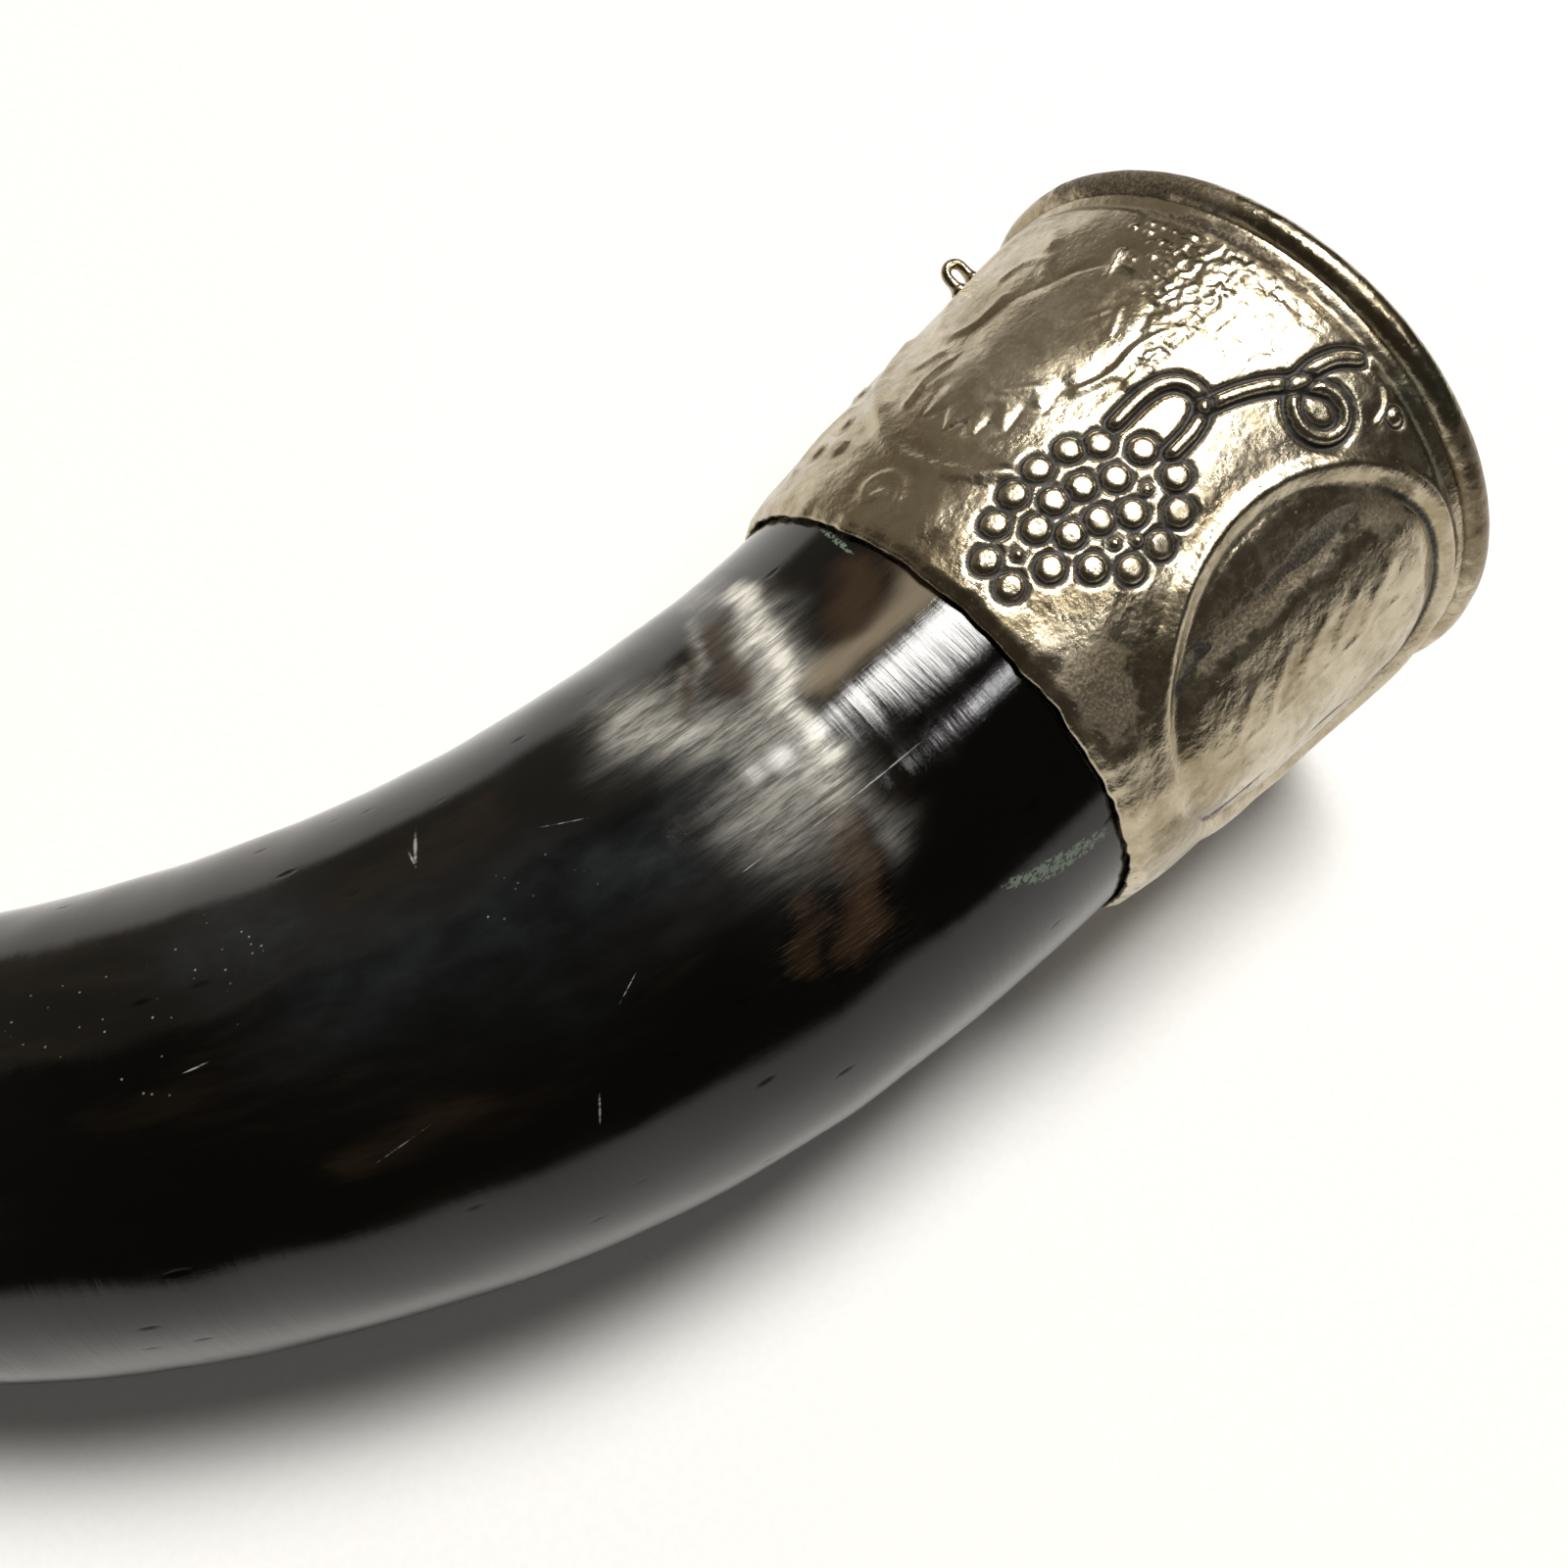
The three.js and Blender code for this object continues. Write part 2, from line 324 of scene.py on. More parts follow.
# How far each map point is outside the tablet's rounded outline.
beyond = [
    np.abs(ARC - MEDALLION[0] * MM_PER_DEGREE) - TABLET_HALF[0] + TABLET_CORNER,
    np.abs(S - MEDALLION[1]) - TABLET_HALF[1] + TABLET_CORNER,
]
off_tablet = (
    np.hypot(np.maximum(beyond[0], 0), np.maximum(beyond[1], 0))
    + np.minimum(np.maximum(*beyond), 0)
    - TABLET_CORNER
)
trough = step(-1.2, 2.6, off_tablet) * (1 - 0.7 * step(2, 7.5, off_tablet)) * (1 - 0.8 * step(37, 42, S))
trough *= 1 - step(MEDALLION_RADIUS - 2.6, MEDALLION_RADIUS - 1, from_medallion)
cut_to(0.12 * fading * np.exp(-(((from_medallion - MEDALLION_RADIUS + 2) / 0.5) ** 2)))

# On the tablet, a worn sprig: a stem with pairs of narrow leaves.
SPRIG_THETA = 27
SPRIG_FROM, SPRIG_TO = 12, 36
SPRIG_PAIRS = 5
LEAF_SPACING = 4.4
SPRIG_LEAF = ((0, 0), (5, 1.6), (9, 4))  # degrees out from the stem, and mm towards the rim
sprig_stem = [(SPRIG_THETA + 1, SPRIG_FROM), (SPRIG_THETA - 1, 24), (SPRIG_THETA, SPRIG_TO)]
soft_ridge(curve_through(sprig_stem), half_width=0.35, height=0.11)
for pair in range(SPRIG_PAIRS):
    start = SPRIG_FROM + 4.5 + pair * LEAF_SPACING
    for side in (-1, 1):
        leaf = [(SPRIG_THETA + side * out, start - back) for out, back in SPRIG_LEAF]
        soft_ridge(curve_through(leaf), half_width=0.7, height=0.12)

# A bunch of grapes under its stem.
GRAPE_RADIUS = 1.42
SMALL_GRAPE_RADIUS = 0.62
GRAPES = [
    (75.7, 25.3), (83, 25.6), (70.9, 27.4), (89.1, 27.7), (82.8, 29.2), (69, 30.7), (76.4, 30.6),
    (92.3, 30), (85.9, 32), (79.5, 33.2), (93.7, 33.3), (69.5, 34.3), (87.5, 34.7), (81.2, 36),
    (93.5, 36.6), (74.3, 36.8), (86.2, 37.7), (79.5, 39.5), (92.1, 39.8), (82.2, 43.2), (88.6, 42.9),
]  # fmt: skip
SMALL_GRAPES = [(77.6, 28.1), (74.8, 33.8), (72.4, 32.1), (85.2, 40.6)]
for grape in GRAPES:
    dome(*grape, GRAPE_RADIUS, height=0.24, groove=0.34)
for grape in SMALL_GRAPES:
    dome(*grape, SMALL_GRAPE_RADIUS, height=0.25, groove=0.24)

# The vine: an arch over the bunch, a stem up to the rim, and a tendril that loops off it.
VINE_WIDTH = 1.3
ARCH = [(79, 24), (79.3, 21), (81, 18.8), (84.2, 18.1), (87.8, 19), (89.6, 21.5), (89.8, 25.2)]
STEM = [(80.8, 18.8), (78.6, 15.6), (76, 13), (73, 10.8), (72.6, 8.4), (71.2, 6.2), (68.6, 4.4)]
LOOP = [(73, 10.8), (70, 12.8), (66.2, 13.2), (62.9, 12.2), (62, 10.4), (64, 9), (68, 8.9), (73, 10.8)]
for line in (ARCH, STEM, LOOP):
    chased_ridge(curve_through(line), VINE_WIDTH, height=0.3, groove=0.42)

# A thin curl and a bead beside the end of the stem.
CURL = [(66.5, 4.6), (62.5, 4.2), (59.5, 5.4), (58.6, 7)]
chased_ridge(curve_through(CURL), width=0.5, height=0.2, groove=0.12)
dome(57, 5, radius=0.9, height=0.2)

# A vine leaf: a smooth blade whose lower edge is toothed.
LEAF = [
    (104, 11.5), (99.6, 14), (97, 17.5), (97.2, 21), (98.6, 24.6), (101.4, 25.2), (100.6, 28.4),
    (104.2, 29), (103.4, 32.2), (107.4, 31.6), (108.2, 34), (111.2, 32.6), (113.8, 34.8),
    (116.6, 32.4), (120.4, 34), (121.6, 30.8), (126.4, 31), (125.2, 27.2), (127.6, 23),
    (124.5, 18), (118, 13.5), (111, 10.5),
]  # fmt: skip
blade = np.array(LEAF) * [MM_PER_DEGREE, 1]
blade_edge = distance_to(np.concatenate([blade, blade[:1]]))
on_blade = inside(blade)
tooth = np.exp(-(((THETA - 110) / 9) ** 2)) * step(24, 28, S)
swelling = 0.5 * (1 - np.exp(-np.minimum(blade_edge, 5) / 1.3))
crisp_edge = 0.24 * (1 - np.exp(-np.minimum(blade_edge, 4) / 0.3)) * tooth
raise_to(np.where(on_blade, swelling, 0))
raise_to(np.where(on_blade, crisp_edge, 0))
cut_to((0.05 + 0.12 * tooth) * np.where(on_blade, 0, np.exp(-((blade_edge / 0.4) ** 2))))

# Soft ridges, each as its half-width, height and points. First those beside and across the leaf.
LEAF_RIDGES = [
    (0.5, 0.42, [(94.6, 15.6), (96.4, 18.6), (96.2, 21.6), (98.6, 25)]),
    (0.5, 0.32, [(125, 25.6), (127.4, 29), (126.6, 33)]),
    (0.8, 0.56, [(104.6, 27), (110, 29), (116, 27.6)]),
    (0.35, 0.62, [(112.6, 9.6), (110.8, 12.8)]),
    (0.35, 0.62, [(104, 15.4), (101.6, 18.4)]),
    (0.35, 0.62, [(105, 16.4), (109, 19), (115, 19.8)]),
]
# Then scrolls and beads that fill the ground between the leaf and the next medallion.
SCROLLS = [
    (0.9, 0.4, [(97.5, 35.6), (102, 37.2), (108, 38.4), (116, 38.8), (124, 37.6), (134, 33.8),
                (144.6, 29.2), (152, 22.5)]),
    (0.8, 0.3, [(128, 18), (129.4, 21.6), (133.6, 23.4), (139, 22.8), (142.6, 20)]),
    (0.7, 0.26, [(131, 26), (134.6, 28.4), (139.6, 27.6)]),
    (0.5, 0.18, [(110, 42.8), (112.4, 41), (116, 40.8), (118.4, 42.6), (116.4, 44.2), (114, 43)]),
    (0.8, 0.3, [(128, 10), (134, 6.8), (141, 6.4), (147, 9), (149.6, 13.4), (147, 17)]),
    (0.6, 0.2, [(122, 15), (126, 12.6), (131, 13), (133, 15.2)]),
    (0.6, 0.26, [(146, 33.5), (150, 36), (150.6, 39.8), (147, 42)]),
]  # fmt: skip
SCROLL_BEADS = [(141.2, 36.2), (142.4, 40), (134.5, 39.6), (152.5, 30)]
for half_width, height, points in LEAF_RIDGES + SCROLLS:
    soft_ridge(curve_through(points), half_width, height)
for bead in SCROLL_BEADS:
    dome(*bead, radius=1.3, height=0.3, groove=0.06)

# Dots punched up from behind, on the ground between the vine and the leaf.
DOTS = 560
DOTS_FROM, DOTS_SPREAD = 91.5, 8  # degrees, thinning out towards the leaf
DOTS_S = 4, 22
DOT_RADII = 0.22, 0.42
dice = np.random.default_rng(4)
for _ in range(DOTS):
    theta = DOTS_FROM + abs(dice.normal(0, DOTS_SPREAD))
    s = dice.uniform(*DOTS_S)
    if on_blade[np.abs(map_s - s).argmin(), np.abs(map_theta - theta).argmin()]:
        continue
    radius = dice.uniform(*DOT_RADII)
    distance = np.hypot(ARC - theta * MM_PER_DEGREE, S - s)
    raise_to(0.34 * np.exp(-((distance / radius) ** 2)))

# Crinkled ground where the sheet was stretched beside the stem.
crinkle_map = np.array(
    [noise.noise((a / 1.5, b / 1.9, 3)) for a, b in zip(ARC.ravel().tolist(), S.ravel().tolist())]
).reshape(ARC.shape)
crinkle = 0.13 * np.exp(-((crinkle_map / 0.1) ** 2))
crinkle *= step(73.5, 77, THETA) * (1 - step(91, 96, THETA)) * step(4, 5.5, S) * (1 - step(12, 16, S))
cut_to(crinkle)

# All of it together, with a groove under the rim, right round the sheet.
TROUGH_DEPTH = 0.75
rim_groove = 0.42 * np.exp(-(((S - 3.1) / 0.75) ** 2))
height_map = relief - cuts - TROUGH_DEPTH * trough - rim_groove


def blurred(values, width):
    """values averaged over width mm, repeating round the horn and mirrored at the ends."""
    tall = np.concatenate([values, values[::-1]])
    rows = np.fft.fftfreq(tall.shape[0], COLLAR_LENGTH / MAP_ROWS)[:, None]
    columns = np.fft.rfftfreq(tall.shape[1], MAP_SPAN * MM_PER_DEGREE / MAP_COLUMNS)[None]
    keep = np.exp(-2 * (math.pi * width) ** 2 * (rows**2 + columns**2))
    return np.fft.irfft2(np.fft.rfft2(tall) * keep, tall.shape)[: values.shape[0]]


# Dirt lies in the hollows and in the punched lines. Round the tablet the trough is darkened further, with
# tarnish and a painted dark reflection. High places are rubbed bright.
height_map = blurred(height_map, 0.06)
hollowness = blurred(height_map, 0.5) - height_map
# Round the tablet the trough gets a band of extra darkness: tarnish, and a painted dark reflection.
trough_tarnish_and_shade = np.exp(-(((off_tablet - 1.9) / 1.9) ** 2)) * step(5, 9, S) * (1 - step(37, 41, S))
dirt_and_shade_map = np.maximum(hollowness / 0.24, (cuts - 0.08) / 0.16)
dirt_and_shade_map = np.clip(np.maximum(dirt_and_shade_map, 0.2 * trough_tarnish_and_shade), 0, 1.2)
wear_map = np.clip(-hollowness / 0.3, 0, 1)


def from_map(values, theta, s):
    """The map's values at places in horn space, between map points."""
    x = ((theta - MAP_FROM) % MAP_SPAN) / MAP_SPAN * MAP_COLUMNS
    y = np.clip(s / COLLAR_LENGTH, 0, 1) * (MAP_ROWS - 1)
    x0, y0 = np.floor(x).astype(int), np.minimum(np.floor(y).astype(int), MAP_ROWS - 2)
    u, v = x - x0, y - y0
    x0 %= MAP_COLUMNS
    x1 = (x0 + 1) % MAP_COLUMNS
    top = values[y0, x0] * (1 - u) + values[y0, x1] * u
    bottom = values[y0 + 1, x0] * (1 - u) + values[y0 + 1, x1] * u
    return top * (1 - v) + bottom * v


# ---- materials ----


class Nodes:
    """A material's node tree, with one short call for each kind of node."""

    def __init__(self, name):
        self.material = bpy.data.materials.new(name)
        self.material.use_nodes = True
        self.tree = self.material.node_tree
        self.shader = self.tree.nodes["Principled BSDF"]

    def link(self, value, socket):
        if hasattr(value, "is_output"):
            self.tree.links.new(value, socket)
        else:
            socket.default_value = value

    def node(self, kind, inputs=None, **settings):
        node = self.tree.nodes.new("ShaderNode" + kind)
        for key, value in settings.items():
            setattr(node, key, value)
        for key, value in (inputs or {}).items():
            self.link(value, node.inputs[key])
        return node

    def attribute(self, name, output="Fac"):
        return self.node("Attribute", attribute_name=name).outputs[output]

    def stretched(self, *scale):
        """Where a point is on the unbent horn, in mm, multiplied by scale."""
        place = self.attribute("straight", "Vector")
        return self.node("Mapping", {"Vector": place, "Scale": scale}).outputs["Vector"]

    def noise(self, place, scale, detail, roughness, distortion=0):
        inputs = {"Vector": place, "Scale": scale, "Detail": detail, "Roughness": roughness}
        inputs["Distortion"] = distortion
        return self.node("TexNoise", inputs).outputs["Fac"]

    def cells(self, place, scale):
        return self.node("TexVoronoi", {"Vector": place, "Scale": scale}).outputs["Distance"]

    def ramp(self, value, low, high, out_low=0, out_high=1):
        inputs = {"Value": value, "From Min": low, "From Max": high}
        inputs |= {"To Min": out_low, "To Max": out_high}
        return self.node("MapRange", inputs, interpolation_type="SMOOTHSTEP").outputs["Result"]

    def math(self, operation, a, b, clamp=False):
        return self.node("Math", {0: a, 1: b}, operation=operation, use_clamp=clamp).outputs[0]

    def mix(self, share, a, b):
        node = self.node("Mix", data_type="RGBA")
        self.link(share, node.inputs["Factor"])
        self.link(a if hasattr(a, "is_output") else (*a, 1), node.inputs["A"])
        self.link(b if hasattr(b, "is_output") else (*b, 1), node.inputs["B"])
        return node.outputs["Result"]

    def mark(self, theta, s, turn, length, width):
        """A thin soft-ended mark on the surface, 1 in its middle. turn is 0 along the horn."""
        place = self.attribute("flat", "Vector")
        inputs = {
            "Vector": place,
            "Location": (theta * MM_PER_DEGREE, s, 0),
            "Rotation": (0, 0, math.radians(turn)),
            "Scale": (width / 2, length / 2, 1),
        }
        inside_mark = self.node("Mapping", inputs, vector_type="TEXTURE").outputs["Vector"]
        return self.node("TexGradient", {"Vector": inside_mark}, gradient_type="SPHERICAL").outputs["Fac"]

    def marks(self, marks):
        """Several marks at once, the stronger one where two cross."""
        strongest = 0
        for mark in marks:
            strongest = self.math("MAXIMUM", strongest, self.mark(*mark))
        return strongest

    def bump(self, height, distance, strength, below=None):
        inputs = {"Height": height, "Distance": distance * MM, "Strength": strength}
        if below is not None:
            inputs["Normal"] = below
        return self.node("Bump", inputs).outputs["Normal"]

    def finish(self, **sockets):
        for name, value in sockets.items():
            socket = self.shader.inputs[name.replace("_", " ").title().replace("Ior", "IOR")]
            if isinstance(value, tuple) and len(value) == 3:
                value = (*value, 1)
            self.link(value, socket)
        return self.material


BRIGHT_SILVER = (0.54, 0.472, 0.348)
AGED_SILVER = (0.33, 0.268, 0.168)
TARNISH_AND_SHADE = (0.085, 0.062, 0.038)
DIRT_AND_SHADE_COLOUR = (0.012, 0.009, 0.006)
VERDIGRIS = (0.15, 0.19, 0.145)


def silver(name, relief_dirt_and_shade, base_roughness, tarnish_and_shade_spots=(), green_spots=(), brownness=0):
    """Worn plate: bright where it is rubbed, brown where it isn't, black in the hollows. On the collar,
    part of the black and brown in the medallion's trough is a painted dark reflection.
    """
    n = Nodes(name)
    around = n.stretched(1, 1, 1)
    clouds = n.noise(around, 0.09, 5, 0.6, 0.6)
    blotches = n.noise(around, 0.45, 6, 0.65, 0.4)
    grain = n.noise(around, 3.2, 4, 0.6)
    scratches = n.noise(n.stretched(0.5, 5, 5), 1.6, 3, 0.7, 1.2)
    clouded = n.math("ADD", clouds, n.math("MULTIPLY", blotches, 0.35))
    aged = n.ramp(clouded, 0.56 - brownness, 0.86 - brownness)
    colour = n.mix(aged, BRIGHT_SILVER, AGED_SILVER)
    spots = n.ramp(blotches, 0.6 - 0.6 * brownness, 0.76, 0, 0.5 + brownness)
    colour = n.mix(spots, colour, TARNISH_AND_SHADE)
    pits = n.math("SUBTRACT", 1, n.ramp(n.cells(around, 0.95), 0.06, 0.17))
    pits = n.math("MULTIPLY", pits, n.ramp(grain, 0.45, 0.62))
    patch = 0
    # Brown clouds: tarnish, and on the collar also a painted dark reflection in the medallion's trough.
    for theta, s, half_theta, half_s, strength in tarnish_and_shade_spots:
        spot = n.mark(theta, s, 0, 2 * half_s, 2 * half_theta * MM_PER_DEGREE)
        spot = n.math("ADD", spot, n.math("MULTIPLY", n.math("SUBTRACT", blotches, 0.5), 1.1))
        patch = n.math("MAXIMUM", patch, n.ramp(spot, 0.28, 0.62, 0, strength))
    if tarnish_and_shade_spots:
        grainy_patch = n.math("MULTIPLY", patch, n.ramp(grain, 0.3, 0.62, 0.55, 1))
        colour = n.mix(grainy_patch, colour, TARNISH_AND_SHADE)
    for mark in green_spots:
        green = n.math("MULTIPLY", n.mark(*mark), n.ramp(blotches, 0.35, 0.6, 0.2, 0.8))
        colour = n.mix(green, colour, VERDIGRIS)
    dirt_and_shade = 0
    if relief_dirt_and_shade:
        ragged = n.math("MULTIPLY", n.math("SUBTRACT", grain, 0.5), 0.45)
        dirt_and_shade = n.ramp(n.math("ADD", n.attribute("dirt_and_shade"), ragged), 0.22, 0.75)
        bright = n.math("MULTIPLY", n.attribute("wear"), 0.75)
        colour = n.mix(bright, colour, BRIGHT_SILVER)
    dirt_and_shade = n.math("MAXIMUM", dirt_and_shade, n.math("MULTIPLY", pits, 0.7), clamp=True)
    # Black mixed in: dirt in the hollows, and in the collar's trough also a painted dark reflection.
    colour = n.mix(dirt_and_shade, colour, DIRT_AND_SHADE_COLOUR)
    roughness = n.ramp(blotches, 0.3, 0.75, base_roughness, base_roughness + 0.16)
    roughness = n.math("ADD", roughness, n.math("MULTIPLY", n.math("ADD", dirt_and_shade, patch), 0.3), clamp=True)
    waves = n.bump(n.noise(around, 0.3, 3, 0.5), 0.5, 0.5)
    hammer = n.bump(n.noise(around, 1.1, 3, 0.6), 0.12, 0.5, waves)
    normal = n.bump(n.math("ADD", scratches, grain), 0.02, 0.45, hammer)
    normal = n.bump(n.math("SUBTRACT", 1, dirt_and_shade), 0.03, 0.5, normal)
    metallic = n.ramp(n.math("MAXIMUM", dirt_and_shade, n.math("MULTIPLY", patch, 0.4)), 0, 1, 1, 0.15)
    return n.finish(base_color=colour, metallic=metallic, roughness=roughness, normal=normal)


BLACK_HORN = (0.0014, 0.0013, 0.001)
BROWN_HORN = (0.012, 0.0075, 0.0045)
DARK_BROWN_HORN = (0.034, 0.02, 0.011)
RUST_HORN = (0.075, 0.052, 0.036)
PALE_HORN = (0.7, 0.67, 0.6)
TAN_HORN = (0.19, 0.155, 0.11)
HAZE = (0.034, 0.038, 0.042)
SPECK = (0.28, 0.26, 0.23)
SCRATCHED_HORN = (0.42, 0.4, 0.37)
# Marks: theta, s, their turn from the horn's line, length and width, in degrees and mm.
SCRATCHES = [
    (72.6, 64.5, 0, 19, 0.32),
    (73.4, 74.6, 5, 4, 0.18),
    (112.5, 98.8, 78, 7, 0.55),
    (110, 99.4, 95, 3.5, 0.35),
    (47.5, 94, 72, 4.2, 0.3),
    (84, 121, 10, 3, 0.3),
    (66, 88, 40, 4, 0.15),
    (100, 86, -25, 6, 0.14),
    (57, 108, 20, 7, 0.12),
    (95, 150, 60, 6, 0.3),
    (60, 190, 15, 9, 0.25),
    (120, 215, 80, 5, 0.3),
    (240, 90, 30, 8, 0.25),
    (200, 140, 70, 6, 0.3),
]
VERDIGRIS_MARKS = [
    (31, 51, -20, 7, 2.8),
    (33, 54.2, -26, 8, 3.4),
    (36, 57, -35, 6, 2),
    (118, 48.3, 80, 9, 1),
]


def horn_material():
    n = Nodes("horn")
    around = n.stretched(1, 1, 1)
    along = n.stretched(0.12, 1, 1)
    fibres = n.noise(along, 0.9, 6, 0.65, 0.3)
    fine_fibres = n.noise(n.stretched(0.08, 1, 1), 5.5, 6, 0.75)
    clouds = n.noise(n.stretched(0.35, 1, 1), 0.09, 5, 0.6, 0.8)
    mottle = n.noise(n.stretched(0.6, 1, 1), 0.4, 5, 0.6, 0.2)

    def fibrous(mask, low, high, share):
        """A mask whose edges fray along the fibres."""
        uneven = n.math("ADD", n.math("MULTIPLY", fine_fibres, 0.6), n.math("MULTIPLY", fibres, 0.4))
        uneven = n.math("MULTIPLY", n.math("SUBTRACT", uneven, 0.5), share * 2)
        return n.ramp(n.math("ADD", n.attribute(mask), uneven), low, high)

    streaks = n.math("ADD", n.math("MULTIPLY", fine_fibres, 0.5), n.math("MULTIPLY", fibres, 0.5))
    streaks = n.ramp(streaks, 0.38, 0.64, 0.28, 1.4)
    colour = n.mix(n.ramp(clouds, 0.5, 0.75, 0, 0.6), BLACK_HORN, BROWN_HORN)
    hazy = n.math("MULTIPLY", n.attribute("haze"), n.ramp(mottle, 0.2, 0.85, 0.35, 1))
    colour = n.mix(hazy, colour, HAZE)
    colour = n.mix(fibrous("rust", 0.3, 1.1, 0.6), colour, DARK_BROWN_HORN)
    rust_lines = n.math("MULTIPLY", n.attribute("rust"), n.ramp(fine_fibres, 0.5, 0.7, 0, 0.8))
    colour = n.mix(rust_lines, colour, RUST_HORN)
    colour = n.mix(fibrous("tan", 0.1, 1.1, 0.3), colour, TAN_HORN)
    colour = n.mix(n.math("MULTIPLY", n.attribute("pale"), streaks, clamp=True), colour, PALE_HORN)
    colour = n.mix(fibrous("brown", 0.15, 1.1, 0.4), colour, DARK_BROWN_HORN)
    specks = n.math("SUBTRACT", 1, n.ramp(n.cells(around, 0.85), 0.05, 0.12))
    speckled = n.ramp(n.math("MULTIPLY", n.attribute("specks"), mottle), 0.3, 0.5)
    specks = n.math("MULTIPLY", specks, speckled)
    colour = n.mix(n.math("MULTIPLY", specks, 0.7), colour, SPECK)
    broken = n.ramp(n.noise(along, 3, 4, 0.7), 0.35, 0.6, 0.25, 1)
    scratched = n.ramp(n.math("MULTIPLY", n.marks(SCRATCHES), broken), 0.12, 0.6)
    colour = n.mix(n.math("MULTIPLY", scratched, 0.6), colour, SCRATCHED_HORN)
    patchy = n.ramp(n.noise(around, 2.2, 5, 0.7), 0.42, 0.56)
    green = n.ramp(n.math("MULTIPLY", n.marks(VERDIGRIS_MARKS), patchy), 0.12, 0.4)
    colour = n.mix(n.math("MULTIPLY", green, 0.8), colour, VERDIGRIS)
    growth = n.noise(n.stretched(1, 0.06, 0.06), 0.9, 3, 0.6)
    fine_growth = n.noise(n.stretched(1, 0.12, 0.12), 5.5, 4, 0.65, 0.6)
    pits = n.ramp(n.cells(n.stretched(0.35, 1, 1), 0.33), 0.02, 0.16)
    roughness = n.ramp(mottle, 0.35, 0.7, 0.06, 0.13)
    dull = n.math("MULTIPLY", n.math("MAXIMUM", green, scratched), 0.4)
    roughness = n.math("ADD", roughness, dull)
    rippled = n.ramp(n.attribute("ripples"), 0, 1, 0.3, 1)
    normal = n.bump(n.math("MULTIPLY", growth, rippled), 0.2, 0.2)
    normal = n.bump(n.math("MULTIPLY", fine_growth, rippled), 0.018, 0.35, normal)
    normal = n.bump(pits, 0.05, 0.4, normal)
    scored = n.math("SUBTRACT", fine_fibres, n.math("MULTIPLY", scratched, 0.8))
    normal = n.bump(scored, 0.015, 0.35, normal)
    specular = n.ramp(pits, 0, 1, 0.12, 0.5)
    return n.finish(
        base_color=colour, roughness=roughness, normal=normal, ior=1.46, specular_ior_level=specular
    )


DARK_PITCH = (0.008, 0.006, 0.005)
DUSTY_PITCH = (0.045, 0.034, 0.025)


def pitch_material():
    n = Nodes("pitch")
    place = n.stretched(1, 1, 1)
    lumps = n.noise(place, 0.8, 5, 0.7)
    colour = n.mix(n.ramp(lumps, 0.4, 0.7), DARK_PITCH, DUSTY_PITCH)
    normal = n.bump(lumps, 0.5, 0.8)
    return n.finish(base_color=colour, roughness=n.ramp(lumps, 0.3, 0.7, 0.5, 0.85), normal=normal)


TABLE_COLOURS = (0.8, 0.795, 0.78), (0.82, 0.815, 0.805)


def table_material():
    n = Nodes("table")
    place = n.node("TexCoord").outputs["Object"]
    speckle = n.noise(place, 900, 3, 0.6)
    colour = n.mix(n.ramp(speckle, 0.35, 0.65), *TABLE_COLOURS)
    return n.finish(base_color=colour, roughness=0.7, normal=n.bump(speckle, 0.01, 0.2))


# Brown clouds of tarnish, with one painted dark reflection among them: theta, s, half-sizes in degrees
# and mm, and how dark.
COLLAR_TARNISH_AND_SHADE = (
    (57, 43, 16, 5, 0.9),
    # This long strip in the trough beside the tablet is a painted dark reflection, laid over tarnish.
    (48, 25, 5, 17, 0.9),
    (46, 10, 9, 5, 0.75),
    (99, 3.4, 27, 2, 1.2),
    (26, 7.4, 6, 0.9, 0.6),
    (12, 9.8, 4, 1, 0.6),
    (110, 24, 20, 16, 0.3),
    (10, 41, 22, 9, 0.35),
)
RIM_TARNISH = ((30, 0, 36, 5, 0.5), (124, 0, 34, 5, 0.95))
# Green marks, given like the horn's.
COLLAR_VERDIGRIS = ((57, 2.6, 0, 5, 9), (46, 4, 0, 4, 7))
RIM_VERDIGRIS = ((57, 0.5, 0, 4, 10),)

EMBOSSED_SILVER = silver("embossed_silver", True, 0.19, COLLAR_TARNISH_AND_SHADE, COLLAR_VERDIGRIS)
PLAIN_SILVER = silver("plain_silver", False, 0.15, RIM_TARNISH, RIM_VERDIGRIS, brownness=0.1)
FERRULE_SILVER = silver("ferrule_silver", True, 0.2)
WIRE_SILVER = silver("silver_wire", False, 0.16)
HORN = horn_material()
PITCH = pitch_material()

# ---- the horn ----

HORN_COLUMNS = 216
PALE_PATCH = 46, 84  # where the markings are finest
HIDDEN_ROWS, PATCH_ROWS, PLAIN_ROWS = 20, 105, 215
OUTSIDE_ROWS = HIDDEN_ROWS + PATCH_ROWS + PLAIN_ROWS
HOLLOW_ROWS = 90
CUP_ROWS = 12
LIP_ROUNDING = 0.5

